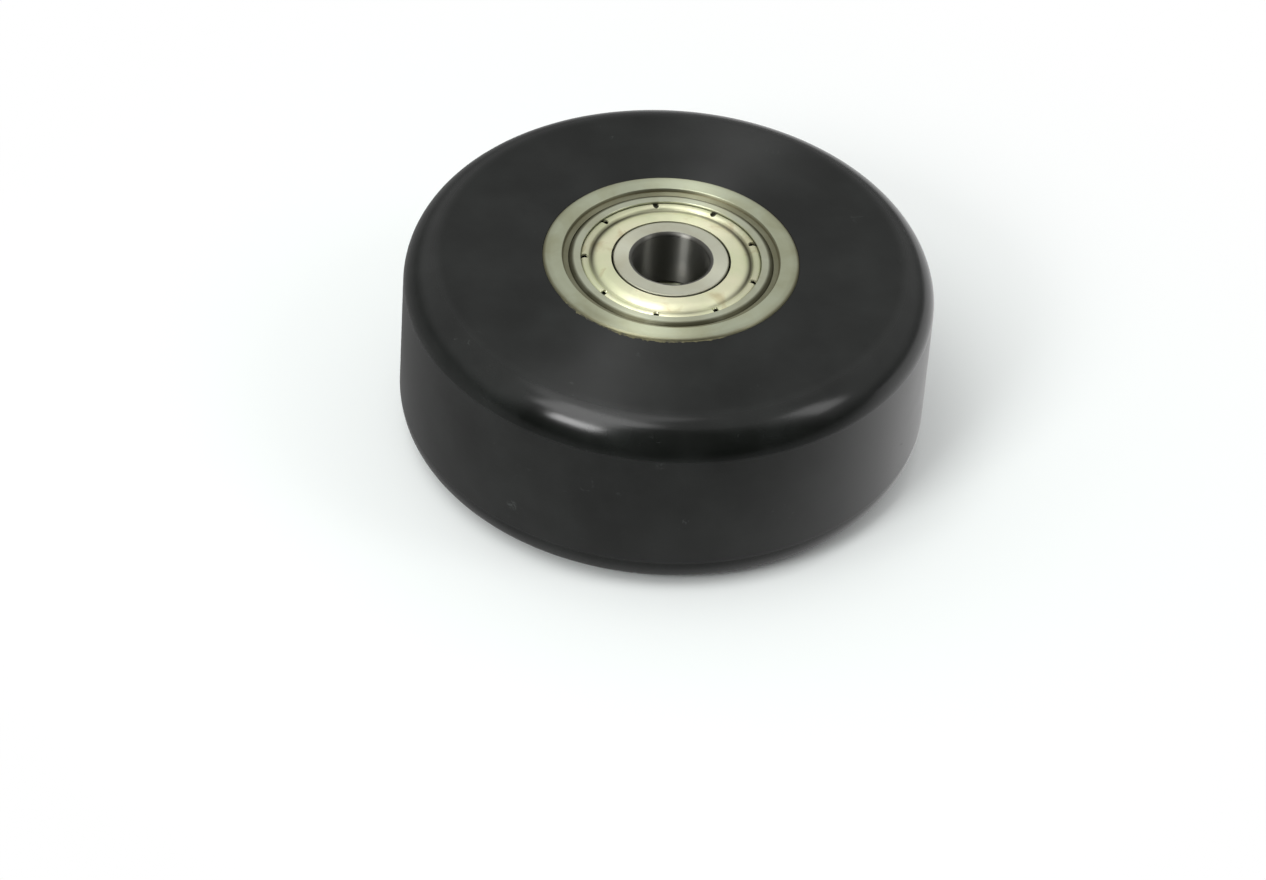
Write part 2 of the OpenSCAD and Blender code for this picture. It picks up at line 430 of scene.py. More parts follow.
def rounded_loop(corners: np.ndarray, arc_steps: int, longest: float, guard: float = 0.03) -> np.ndarray:
    """Turns a closed outline of sharp corners into a dense one whose corners are round.

    Each round's centre lies on the corner's bisector, at its radius over the sine of half the corner's angle, and
    its points are evenly spaced in angle between the two points where it touches the edges. Straight runs get
    points no further apart than longest. One that is longer than ten guards gets a point just inside each end
    too, so that shading stays flat on it.

    Args:
        corners: Rows of distance from the axis, height and radius of the round.
        arc_steps: Segments in each round.
        longest: Longest segment of the result.
        guard: Distance of the guarding points from the ends of a straight run.

    Returns:
        Rows of distance from the axis and height, in the corners' order.
    """
    tip, radius = corners[:, :2], corners[:, 2:]
    back, ahead = np.roll(tip, 1, axis=0) - tip, np.roll(tip, -1, axis=0) - tip
    back /= np.linalg.norm(back, axis=1, keepdims=True)
    ahead /= np.linalg.norm(ahead, axis=1, keepdims=True)
    half = np.arccos(np.clip((back * ahead).sum(1, keepdims=True), -1, 1)) / 2
    reach = radius / np.tan(half)
    bisector = back + ahead
    bisector /= np.maximum(np.linalg.norm(bisector, axis=1, keepdims=True), 1e-9)
    centre = tip + bisector * radius / np.sin(half)
    first, last = tip + back * reach - centre, tip + ahead * reach - centre
    start = np.arctan2(first[:, 1], first[:, 0])
    sweep = np.arctan2(last[:, 1], last[:, 0]) - start
    sweep = (sweep + np.pi) % (2 * np.pi) - np.pi
    turn = start[:, None] + sweep[:, None] * np.linspace(0, 1, arc_steps + 1)
    points = centre[:, None] + radius[:, None] * np.stack([np.cos(turn), np.sin(turn)], axis=2)
    points = points.reshape(-1, 2)
    points = points[np.linalg.norm(points - np.roll(points, 1, axis=0), axis=1) > 1e-6]
    closed = np.vstack([points, points[:1]])
    long_run = np.linalg.norm(np.diff(closed, axis=0), axis=1) > 10 * guard
    place = loop_length(closed)
    guards = (place[:-1][long_run] + guard, place[1:][long_run] - guard)
    extra = np.concatenate([*guards, np.arange(0, place[-1], longest)])
    near = np.abs(extra[:, None] - place[None, :]).min(axis=1)
    stops = np.sort(np.concatenate([place[:-1], extra[near > 0.4 * guard]]))
    stops = stops[np.concatenate([[True], np.diff(stops) > 1e-4])]
    return np.column_stack([np.interp(stops, place, closed[:, i]) for i in (0, 1)])


def grid_quads(rows: int, columns: int, wrap_rows: bool, wrap_columns: bool) -> np.ndarray:
    """Corner numbers of the faces of a grid whose point at (row, column) has the number row * columns + column.

    Args:
        rows: Number of rows of points.
        columns: Number of columns of points.
        wrap_rows: Whether the last row joins the first.
        wrap_columns: Whether the last column joins the first.

    Returns:
        One row of four point numbers for each face.
    """
    i, j = np.indices((rows - (not wrap_rows), columns - (not wrap_columns))).reshape(2, -1)
    this_row, next_row = i * columns, (i + 1) % rows * columns
    next_j = (j + 1) % columns
    return np.column_stack([this_row + j, next_row + j, next_row + next_j, this_row + next_j])


def turned(r: np.ndarray, turn: np.ndarray, z: np.ndarray) -> np.ndarray:
    """Points at distances r from the axis, angles turn round it in radians, and heights z, one in each row."""
    return np.stack(np.broadcast_arrays(r * np.cos(turn), r * np.sin(turn), z), axis=-1).reshape(-1, 3)


def polar(points: np.ndarray) -> tuple[np.ndarray, np.ndarray, np.ndarray]:
    """Distance of each point from the axis, its angle in degrees from 0 to 360, and its distance from z = 0."""
    return np.hypot(*points[:, :2].T), np.degrees(np.arctan2(points[:, 1], points[:, 0])) % 360, np.abs(points[:, 2])


def rise(values: np.ndarray, start: float, width: float) -> np.ndarray:
    """A share that is 0 up to the start, grows evenly over the width, and then stays at 1."""
    return np.clip((values - start) / width, 0, 1)


def revolve(profile: np.ndarray, columns: int) -> tuple[np.ndarray, np.ndarray]:
    """Turns a closed outline round the axis.

    The point of row i and column j lies at the outline's i-th distance from the axis and height, turned by j
    equal steps of the full circle.

    Args:
        profile: Rows of distance from the axis and height.
        columns: Steps round the axis.

    Returns:
        The points, and the corner numbers of the faces.
    """
    turn = np.linspace(0, 2 * np.pi, columns, endpoint=False)
    return turned(profile[:, :1], turn, profile[:, 1:]), grid_quads(len(profile), columns, True, True)


def run_middles(profile: np.ndarray) -> np.ndarray:
    """Middle of each segment of a closed outline, where its faces lie once it is turned round the axis."""
    return (profile + np.roll(profile, -1, axis=0)) / 2


def outward(points: np.ndarray, faces: np.ndarray) -> np.ndarray:
    """Turns the faces of a closed surface round if the volume that they enclose comes out negative.

    Six times the volume is the sum of the triple products of each triangle's corners.

    Args:
        points: One row of x, y and z for each point.
        faces: Four point numbers for each face.

    Returns:
        The faces, with their corners in the order that makes them face outwards.
    """
    a, b, c, d = (points[faces[:, k]] for k in range(4))
    six_volumes = (np.cross(a, b) * c).sum() + (np.cross(a, c) * d).sum()
    return faces if six_volumes > 0 else faces[:, ::-1]


def make_piece(
    name: str,
    points: np.ndarray,
    faces: np.ndarray,
    materials: list[Material],
    attributes: dict[str, np.ndarray] | None = None,
    bands: np.ndarray | None = None,
) -> Object:
    """Makes a smooth shaded object at the origin from points in millimetres.

    Args:
        name: The piece's name.
        points: One row of x, y and z for each point.
        faces: Four point numbers for each face.
        materials: Its finishes.
        attributes: Name to one number for each point.
        bands: The number of the finish of each face, where there is more than one.

    Returns:
        The object, linked to the scene.
    """
    faces = outward(points, faces)
    mesh = bpy.data.meshes.new(name)
    mesh.vertices.add(len(points))
    mesh.vertices.foreach_set("co", (points * MM).astype(np.float32).ravel())
    mesh.loops.add(faces.size)
    mesh.loops.foreach_set("vertex_index", faces.astype(np.int32).ravel())
    mesh.polygons.add(len(faces))
    mesh.polygons.foreach_set("loop_start", np.arange(0, faces.size, 4, dtype=np.int32))
    mesh.polygons.foreach_set("use_smooth", np.ones(len(faces), bool))
    for material in materials:
        mesh.materials.append(material)
    if bands is not None:
        mesh.polygons.foreach_set("material_index", bands.astype(np.int32))
    mesh.update(calc_edges=True)
    mesh.validate()
    mesh.set_sharp_from_angle(angle=math.radians(SHARP_ANGLE))
    for key, values in (attributes or {}).items():
        mesh.attributes.new(key, "FLOAT", "POINT").data.foreach_set("value", values.astype(np.float32))
    piece = bpy.data.objects.new(name, mesh)
    bpy.context.scene.collection.objects.link(piece)
    return piece


def place_piece(piece: Object, body: str, slot: str, *nodes: str) -> None:
    """Lets a piece ride on its body and hides the nodes that it stands for.

    Args:
        piece: The finished object.
        body: The body that it moves with.
        slot: The record's material slot that its finish comes from; not used.
        nodes: The CAD nodes that it replaces.
    """
    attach(piece, body)
    if nodes:
        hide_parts(*nodes)
    LOG.info("%s: %d faces, rides on %s", piece.name, len(piece.data.polygons), body)


@dataclass
class WheelBody:
    """The solid turned body: two flat faces, a polished round at each edge and a dull tread."""

    radius: float = 41.485
    half_width: float = 16.0
    bore_radius: float = 20.0
    corner_radius: float = 6.0
    edge_break: float = 0.12
    face_roughness: float = 0.54
    corner_roughness: float = 0.20
    tread_roughness: float = 0.32
    tread_margin: float = 0.25
    tread_depth: float = 0.1
    polish_share: float = 0.35
    columns: int = 400
    face_finish: TurnedPolymer = TurnedPolymer("turned_black_polyurethane", 0.87)
    corner_finish: TurnedPolymer = TurnedPolymer("polished_black_polyurethane", 0.60)
    tread_finish: TurnedPolymer = TurnedPolymer("dull_black_polyurethane", 0.30, 1.60)

    def profile(self) -> np.ndarray:
        """Outline of the section, from the lower end of the bore round the outside.

        Returns:
            Rows of distance from the axis and height.
        """
        b, r, z, edge, corner = self.bore_radius, self.radius, self.half_width, self.edge_break, self.corner_radius
        corners = np.array([[b, -z, edge], [r, -z, corner], [r, z, corner], [b, z, edge]])
        return rounded_loop(corners, arc_steps=24, longest=2.4, guard=0.1)

    def past_face(self, profile: np.ndarray) -> np.ndarray:
        """How far each point lies past the flat face's edge, as a share of the stretch where the polish grows."""
        return rise(profile[:, 0], self.radius - self.corner_radius, self.corner_radius * self.polish_share)

    def tread(self, profile: np.ndarray) -> np.ndarray:
        """True for the points of the outline where the outside wall stands upright."""
        upright = np.abs(profile[:, 1]) <= self.half_width - self.corner_radius + self.tread_margin
        return upright & (profile[:, 0] > self.radius - self.tread_depth)

    def polish(self, profile: np.ndarray) -> np.ndarray:
        """Roughness along the outline: it goes smoothly from the faces to the rounds, and steps at the tread.

        Args:
            profile: Rows of distance from the axis and height.

        Returns:
            The roughness at each row.
        """
        share = self.past_face(profile)
        share = share * share * (3 - 2 * share)
        rough = self.face_roughness + (self.corner_roughness - self.face_roughness) * share
        return np.where(self.tread(profile), self.tread_roughness, rough)

    def build(self) -> None:
        """Makes the body and lets it stand for its CAD node."""
        profile, columns = self.profile(), self.columns
        points, faces = revolve(profile, columns)
        along = {"along": loop_length(profile), "polish": self.polish(profile)}
        per_point = {name: np.repeat(values, columns) for name, values in along.items()}
        middles = run_middles(profile)
        # Number of the finish of each row of faces
        zone = np.where(self.tread(middles), 2, self.past_face(middles) >= 1)
        finishes = [f.material() for f in (self.face_finish, self.corner_finish, self.tread_finish)]
        piece = make_piece("turned_wheel_body", points, faces, finishes, per_point, np.repeat(zone, columns))
        place_piece(piece, "wheel", "polymer", "wheel_body")


@dataclass
class AdhesiveFillet:
    """The uneven line of adhesive in the corner between the sleeve and the body's upper face."""

    inside: float = 19.9
    corner: float = 20.0
    face: float = 16.0
    sunk: float = 0.04
    start: float = 212.0
    end: float = 296.0
    narrow: float = 0.10
    wide: float = 0.62
    low: float = 0.06
    high: float = 0.16
    blunt_end: float = 0.02
    rows: int = 420
    columns: int = 12

    def unevenness(self, waves: int = 14) -> np.ndarray:
        """A sum of waves with random phases along the arc, stretched to fill the range from 0 to 1.

        Args:
            waves: How many waves there are.

        Returns:
            One number for each row.
        """
        rng = np.random.default_rng(SEED)
        along = np.linspace(0, 1, self.rows)[:, None]
        count = rng.integers(2, 48, waves)
        phase = rng.uniform(0, 2 * np.pi, waves)
        total = (np.sin(2 * np.pi * count * along + phase) / np.sqrt(count)).sum(axis=1)
        return (total - total.min()) / np.ptp(total)

    def build(self) -> None:
        """Makes the fillet, which swells and thins along its arc and runs out at both ends.

        Row i lies at an even step of the arc. Its section is a quarter of an ellipse, w(i) wide and h(i) high,
        from the sleeve down to the body's face, and closed by a straight line under both.
        """
        uneven = self.unevenness()
        taper = np.sin(np.linspace(self.blunt_end, np.pi - self.blunt_end, self.rows)) ** 0.5
        width = ((self.narrow + (self.wide - self.narrow) * uneven**1.5) * taper)[:, None]
        height = ((self.low + (self.high - self.low) * uneven) * taper)[:, None]
        turn = np.radians(np.linspace(self.start, self.end, self.rows))[:, None]
        bow = np.linspace(0, np.pi / 2, self.columns - 2)[None, :]
        bottom = self.face - self.sunk + 0 * turn
        r = np.hstack([self.corner + width * np.cos(bow), self.inside + 0 * turn, self.corner + width])
        z = np.hstack([self.face + height * np.sin(bow), bottom, bottom])
        points = turned(r, turn, z)
        k = np.arange(self.columns // 2 - 1)
        cap = np.column_stack([k, k + 1, self.columns - 2 - k, self.columns - 1 - k])
        last = (self.rows - 1) * self.columns
        faces = np.vstack([grid_quads(self.rows, self.columns, False, True), cap, cap[:, ::-1] + last])
        piece = make_piece("adhesive_fillet", points, faces, [CuredAdhesive().material()])
        place_piece(piece, "wheel", "polymer")


@dataclass
class Hub:
    """The steel sleeve with its two bearing seats, and the spacer tube between the inner rings."""

    sleeve_radius: float = 20.0
    half_length: float = 16.295
    seat_radius: float = 16.0
    seat_height: float = 6.0
    shoulder_radius: float = 14.0
    mouth_radius: float = 17.05
    ledge_radius: float = 16.85
    ledge_height: float = 15.72
    ledge_fall: float = 0.12
    seat_round: float = 0.35
    outer_round: float = 0.50
    edge_break: float = 0.12
    # Shares of dirt and painted shade in the mouth's groove and on the outer round
    ledge_grime_and_shade: float = 0.70
    mouth_margin: float = 0.1
    mouth_fade: float = 0.2
    wall_fade: float = 0.15
    rim_grime_and_shade: float = 0.85
    rim_start: float = 0.65
    smear_grime: float = 0.4
    smear_radius: float = 19.0
    smear_width: float = 0.9
    smear_angle: float = 232.0
    smear_reach: float = 11.0
    spacer_radius: float = 8.5
    spacer_bore: float = 6.25
    spacer_chamfer: float = 0.4
    spacer_edge: float = 0.05
    columns: int = 240
    finish: MachinedSteel = MachinedSteel(
        name="turned_free_cutting_steel",
        colour="#c3c8af",
        stain="#9e9768",
        roughness=0.44,
        anisotropy=0.79,
        ring_spacing=0.55,  # coarser than the real feed of about 0.1 mm, which would not show
        ring_height=0.0016,
        grain=ACROSS - 0.02,  # the fast feed left a slight spiral, which turns the streak by 7 degrees
    )

    def sleeve_profile(self) -> np.ndarray:
        """Outline of the section, up the outside, in over the mouth's step and ledge and down over the shoulder.

        Returns:
            Rows of distance from the axis and height.
        """
        edge = self.edge_break
        upper = [
            [self.sleeve_radius, self.half_length, self.outer_round],
            [self.mouth_radius, self.half_length, edge],
            [self.ledge_radius, self.ledge_height, edge],
            [self.seat_radius, self.ledge_height - self.ledge_fall, edge / 2],
            [self.seat_radius, self.seat_height, self.seat_round],
            [self.shoulder_radius, self.seat_height, edge],
        ]
        return rounded_loop(np.vstack([upper, mirrored(upper)]), arc_steps=6, longest=0.8)

    def grime_and_shade(self, points: np.ndarray) -> np.ndarray:
        """Share of dirt and painted shade on the sleeve: full on the mouth's wall, part on its ledge and on the
        outer round.

        A smear of adhesive on the end faces adds a bell curve of the distance from the axis, times one of the angle.

        Args:
            points: One row of x, y and z for each point.

        Returns:
            The share at each point.
        """
        r, turn, height = polar(points)
        mouth = (r > self.seat_radius - self.mouth_margin) & (r < self.mouth_radius + self.mouth_margin)
        mouth &= height > self.seat_height
        depth = rise(self.half_length - height, 0, self.mouth_fade)
        wall = rise(r, self.ledge_radius - self.wall_fade, self.wall_fade)
        rim = rise(r, self.sleeve_radius - self.rim_start, self.outer_round)
        across, along = (r - self.smear_radius) / self.smear_width, (turn - self.smear_angle) / self.smear_reach
        smear = self.smear_grime * np.exp(-(across**2) - along**2)
        # Painted shade with dirt: the mouth's wall and ledge darken in the groove beside the bearing, and the outer
        # round is darkened where a highlight would be
        in_mouth = depth * (self.ledge_grime_and_shade + (1 - self.ledge_grime_and_shade) * wall)
        return np.where(mouth, in_mouth, np.maximum(self.rim_grime_and_shade * rim, smear))

    def spacer_profile(self) -> np.ndarray:
        """Outline of the spacer's section, with a chamfer at each corner.

        Returns:
            Rows of distance from the axis and height.
        """
        i, o, z, c, e = self.spacer_bore, self.spacer_radius, self.seat_height, self.spacer_chamfer, self.spacer_edge
        lower = [[i, c - z, e], [i + c, -z, e], [o - c, -z, e], [o, c - z, e]]
        return rounded_loop(np.vstack([lower, mirrored(lower)]), arc_steps=4, longest=3.0)

    def build(self) -> None:
        """Makes the sleeve and the spacer."""
        steel = [self.finish.material()]
        points, faces = revolve(self.sleeve_profile(), self.columns)
        sleeve = make_piece("turned_hub_sleeve", points, faces, steel, {"grime_and_shade": self.grime_and_shade(points)})
        place_piece(sleeve, "wheel", "sleeve_steel", "hub_sleeve")
        spacer = make_piece("turned_axle_spacer", *revolve(self.spacer_profile(), self.columns), steel)
        place_piece(spacer, "axle_side", "sleeve_steel", "axle_spacer")


@dataclass
class Shield:
    """A pressed shield: a raised middle, a slope down to the floor, and a bead cut by slits along the edge."""

    bore_radius: float = 9.34
    edge_radius: float = 14.3
    crest_radius: float = 11.85
    top: float = 4.9
    floor: float = 4.42
    slope_width: float = 0.50
    crest_round: float = 2.70
    crown: float = 0.12
    crown_radius: float = 10.1
    bead_radius: float = 13.38
    bead_round: float = 0.85
    bead_drop: float = 0.05
    rim: float = 4.45
    thickness: float = 0.3
    blend: float = 0.14
    slits: int = 9
    slit_width: float = 0.9
    slit_length: float = 1.45
    slit_start: float = 20.0
    # A band of old oil and painted shade in the crease and on the bead, darker on the sides that the lamps light
    # least
    grime_and_shade_radius: float = 12.40
    grime_and_shade_width: float = 0.46
    bead_shade: float = 0.24
    shade_wave_mean: float = 0.62
    shade_wave: float = 0.36
    shade_angle: float = 80.0
    second_shade_angle: float = 340.0
    most_grime_and_shade: float = 0.95
    smear_share: float = 0.58
    smear_radius: float = 12.86
    smear_width: float = 0.767
    smear_angle: float = 283.0
    smear_reach: float = 15.0
    dense_width: float = 1.4
    sector_columns: int = 22

    def rows(self) -> np.ndarray:
        """Distances from the axis of the rows, close together over the bends and the slits' round ends.

        Returns:
            The distances, from the bore outwards.
        """
        dense = self.crest_radius - self.dense_width
        root, half_width = self.edge_radius - self.slit_length, self.slit_width / 2
        stretches = (
            np.linspace(self.bore_radius, dense, 8),
            np.linspace(dense, root, 44),
            root + half_width * (1 - np.cos(np.linspace(0, np.pi / 2, 9))),
            np.linspace(root + half_width, self.edge_radius, 20),
        )
        return np.unique(np.concatenate(stretches).round(5))

    def height(self, r: np.ndarray) -> np.ndarray:
        """Height of the sheet's outer face over the bearing's middle, before its bends are eased.

        It is the highest of three things: the raised middle, a shallow parabola about the crown's circle whose
        crest falls along a round; the floor, or the rim outside the bead; and the bead, a round of its own.

        Args:
            r: Distances from the axis.

        Returns:
            The height at each.
        """
        angle = math.atan2(self.top - self.floor, self.slope_width)
        start = self.crest_radius - self.crest_round * math.tan(angle / 2)
        past = np.clip(r - start, 0, self.crest_round * math.sin(angle))
        bend = self.crest_round - np.sqrt(self.crest_round**2 - past**2)
        share = np.minimum((r - self.crown_radius) / (self.crest_radius - self.crown_radius), 1)
        middle = self.top - self.crown * share**2 - bend - math.tan(angle) * np.maximum(r - start - past, 0)
        across = np.maximum(self.bead_round**2 - (r - self.bead_radius) ** 2, 0)
        bead = self.top - self.bead_drop - self.bead_round + np.sqrt(across)
        low = np.where(r < self.bead_radius, self.floor, self.rim)
        return np.maximum(np.maximum(middle, low), bead)

    def eased_height(self, r: np.ndarray) -> np.ndarray:
        """The height averaged over a short width, which eases the foot of the slope and of the bead."""
        spread = np.linspace(-0.5, 0.5, 21) * self.blend
        return self.height(r[:, None] + spread[None, :]).mean(axis=1)

    def grime_and_shade(self, points: np.ndarray) -> np.ndarray:
        """Share of old oil and painted shade at each point: a soft band in the crease, thick toward +Y, +X and -X,
        and thin at -Y, where the lamps light it.

        It is a bell curve of the distance from the crease, and a thinner even film of painted shade on the bead
        outside it, times the sum of two waves of the angle round the axis, which paint the shade by side. A smear on
        the crease and the bead is a bell curve of the distance and of the angle.

        Args:
            points: One row of x, y and z for each point.

        Returns:
            The share at each point.
        """
        r, turn, _ = polar(points)
        away = (r - self.grime_and_shade_radius) / self.grime_and_shade_width
        share = np.maximum(np.exp(-(away**2)), np.where(away > 0, self.bead_shade, 0))
        once = np.cos(np.radians(turn - self.shade_angle))
        twice = np.cos(np.radians(2 * turn - self.second_shade_angle))
        # The waves paint the shade by side: little at -Y, where the lamps light the crease
        wave = self.shade_wave_mean + self.shade_wave * (once + twice)
        across, along = (r - self.smear_radius) / self.smear_width, (turn - self.smear_angle) / self.smear_reach
        smear = self.smear_share * np.exp(-(across**2) - along**2)
        return np.maximum(share * np.clip(wave, 0, self.most_grime_and_shade), smear)

    def sheet_loop(self) -> tuple[np.ndarray, np.ndarray]:
        """Outer face from the bore to the edge, then the inner face back, moved in along the surface's normal.

        Returns:
            Distance from the axis and height of each row, twice as many as rows() gives.
        """
        r = self.rows()
        z = self.eased_height(r)
        step = 0.01
        slope = (self.eased_height(r + step) - self.eased_height(r - step)) / (2 * step)
        slope[[0, -1]] = 0
        length = np.sqrt(1 + slope**2)
        inner_r = r + self.thickness * slope / length
        inner_z = z - self.thickness / length
        return np.concatenate([r, inner_r[::-1]]), np.concatenate([z, inner_z[::-1]])

    def surface(self) -> tuple[np.ndarray, np.ndarray]:
        """Works out the whole shield, facing up from the bearing's middle.

        Between two slits lies one sector, a grid of the sheet's loop and of the angle. In the rows that a slit
        crosses, the sector's ends draw back by the slit's half width over the distance from the axis, which
        follows a circle at the slit's round end. Walls close the ends there, and equal points are merged.

        Returns:
            The points, and the corner numbers of the faces.
        """
        r, z = self.sheet_loop()
        half_rows = len(r) // 2
        outer_face_r = np.concatenate([r[:half_rows], r[:half_rows][::-1]])
        half_width = self.slit_width / 2
        centre = self.edge_radius - self.slit_length + half_width
        inward = np.clip(centre - outer_face_r, 0, None)
        width = np.where(inward < half_width, np.sqrt(np.clip(half_width**2 - inward**2, 0, None)), 0.0)
        width[np.isclose(inward, half_width)] = 0.0
        draw_back = (width / r)[:, None]
        share = np.linspace(0, 1, self.sector_columns + 1)[None, :]
        pitch = 2 * np.pi / self.slits
        first = math.radians(self.slit_start) + pitch * np.arange(self.slits)
        turn = first[:, None, None] + draw_back + share * (pitch - 2 * draw_back)
        points = turned(r[:, None], turn, z[:, None])
        columns = self.sector_columns + 1
        count = len(r) * columns
        cut = np.flatnonzero(width[:half_rows] > 0)
        top = np.arange(cut[0] - 1, half_rows - 1)
        under = len(r) - 1 - top
        start_wall = np.column_stack([top + 1, top, under, under - 1]) * columns
        end_wall = np.column_stack([top, top + 1, under - 1, under]) * columns + columns - 1
        sector = np.vstack([grid_quads(len(r), columns, True, False), start_wall, end_wall])
        faces = (sector[None] + (np.arange(self.slits) * count)[:, None, None]).reshape(-1, 4)
        cells = np.round(points / MERGE_CELL).astype(np.int64)
        _, keep, number = np.unique(cells, axis=0, return_index=True, return_inverse=True)
        return points[keep], number.reshape(-1)[faces]


@dataclass
class Bearing:
    """One shielded deep-groove bearing: its two rings, its two shields, and finishes for what runs inside."""

    side: Side
    ring_steel: Material
    inner_steel: Material
    bore_steel: Material
    shield_steel: Material
    centre: float = 11.0
    half_width: float = 5.0
    bore_radius: float = 6.0
    inner_shoulder: float = 9.05
    land: float = 12.95
    outside: float = 15.995
    race_round: float = 3.0956
    inner_race_centre: float = 11.0791
    outer_race_centre: float = 10.9209
    outside_round: float = 0.90
    bore_round: float = 0.62
    shoulder_round: float = 0.25
    lip: float = 14.1
    groove: float = 14.35
    groove_top: float = 4.5
    step: float = 4.15
    lip_break: float = 0.12
    # Shares of dirt, grease and painted shade on the rings' rounds, beside the shields, at the bores' mouths and in
    # the slits
    round_grime_and_shade: float = 0.9
    round_fade: float = 0.35
    edge_shade: float = 0.55
    edge_start: float = 0.3
    edge_fade: float = 0.2
    edge_depth: float = 1.0
    margin: float = 0.01
    bore_edge_shade: float = 0.45
    seat_grease_and_shade: float = 0.8
    seat_margin: float = 0.2
    columns: int = 240
    shield: Shield = field(default_factory=Shield)

    def race_angle(self, centre: float, shoulder: float) -> float:
        """Angle, in degrees, at which the race's circle meets the ring's shoulder."""
        return math.degrees(math.acos(abs(shoulder - centre) / self.race_round))

    def outer_profile(self) -> np.ndarray:
        """Outline of the outer ring's section, up the outside and down over the shields' seats and the race.

        Returns:
            Rows of distance from the axis and height.
        """
        meet = self.race_angle(self.outer_race_centre, self.land)
        small = self.lip_break / 2
        upper = [
            [self.outside, self.half_width, self.outside_round],
            [self.lip, self.half_width, self.lip_break],
            [self.lip, self.groove_top, small],
            [self.groove, self.groove_top, small],
            [self.groove, self.step, small],
            [self.land, self.step, small],
        ]
        race = arc(self.outer_race_centre, self.race_round, meet, -meet, 24)
        return rounded_loop(np.vstack([upper, race, mirrored(upper)]), arc_steps=6, longest=0.8)

    def inner_profile(self) -> np.ndarray:
        """Outline of the inner ring's section, up over the race and down the bore.

        Returns:
            Rows of distance from the axis and height.
        """
        meet = self.race_angle(self.inner_race_centre, self.inner_shoulder)
        race = arc(self.inner_race_centre, self.race_round, 180 + meet, 180 - meet, 24)
        z = self.half_width
        below = [[self.bore_radius, -z, self.bore_round], [self.inner_shoulder, -z, self.shoulder_round]]
        return rounded_loop(np.vstack([below, race, mirrored(below)]), arc_steps=7, longest=0.8)

    def ring_shares(self, points: np.ndarray) -> dict[str, np.ndarray]:
        """Shares of the two dark films on a ring, as its material reads them; both stand partly for painted shade.

        The first is dirt with painted shade on the outside rounds, in the groove by the sleeve, and painted shade on
        the edge beside the shield.
        The second is painted shade on the bore's rounds, and grease with painted shade under the shields' edges,
        where the slits look in.

        Args:
            points: One row of x, y and z for each point, from the bearing's own middle.

        Returns:
            The two shares at each point, by name.
        """
        r, _, z = polar(points)
        rounds = rise(r, self.outside - self.outside_round, self.round_fade) * (z < self.half_width)
        beside = rise(r, self.inner_shoulder - self.edge_start, self.edge_fade)
        beside *= (r < self.inner_shoulder + self.margin) & (z > self.half_width - self.edge_depth)
        bore_edge = (r < self.bore_radius + self.bore_round) & (z > self.half_width - self.bore_round)
        seats = (r > self.land - self.margin) & (r < self.groove + self.margin)
        seats &= z < self.groove_top + self.seat_margin
        # Painted shade with dirt in the groove by the sleeve; painted shade beside the shield, at the bore's mouth
        # and, with grease, in the slits
        grime_and_shade = np.maximum(self.round_grime_and_shade * rounds, self.edge_shade * beside)
        return {"grime_and_shade": grime_and_shade, "grease": np.maximum(self.seat_grease_and_shade * seats, self.bore_edge_shade * bore_edge)}

    def lift(self, points: np.ndarray, flip: int = 1) -> np.ndarray:
        """Moves points from the bearing's own middle to its place, turned over where flip is -1."""
        return points * [1, 1, flip] + [0, 0, self.side.value * self.centre]

    def build_ring(self, kind: str, profile: np.ndarray, steels: list[Material], body: str) -> None:
        """Makes one ring and lets it stand for its CAD node.

        Args:
            kind: Outer or inner.
            profile: Rows of distance from the axis and height of its section.
            steels: Its finish, and a second one for the bore where it has that.
            body: The body that it moves with.
        """
        node = f"{self.side.prefix}_{kind}_ring"
        points, faces = revolve(profile, self.columns)
        bands = np.repeat(run_middles(profile)[:, 0] < self.bore_radius + self.bore_round, self.columns)
        piece = make_piece(f"ground_{node}", self.lift(points), faces, steels, self.ring_shares(points), bands)
        place_piece(piece, body, "ring_steel", node)

    def build_shields(self) -> None:
        """Makes the shield that shows and the one on the bearing's inner side, which faces the other way."""
        points, faces = self.shield.surface()
        grime_and_shade = {"grime_and_shade": self.shield.grime_and_shade(points)}
        for where, flip in (("outside", self.side.value), ("inside", -self.side.value)):
            node = f"{self.side.prefix}_{where}_shield"
            piece = make_piece(f"pressed_{node}", self.lift(points, flip), faces, [self.shield_steel], grime_and_shade)
            place_piece(piece, "wheel", "shield_steel", node)

    def build(self) -> None:
        """Makes the rings and the shields."""
        self.build_ring("outer", self.outer_profile(), [self.ring_steel], "wheel")
        self.build_ring("inner", self.inner_profile(), [self.inner_steel, self.bore_steel], "axle_side")
        self.build_shields()


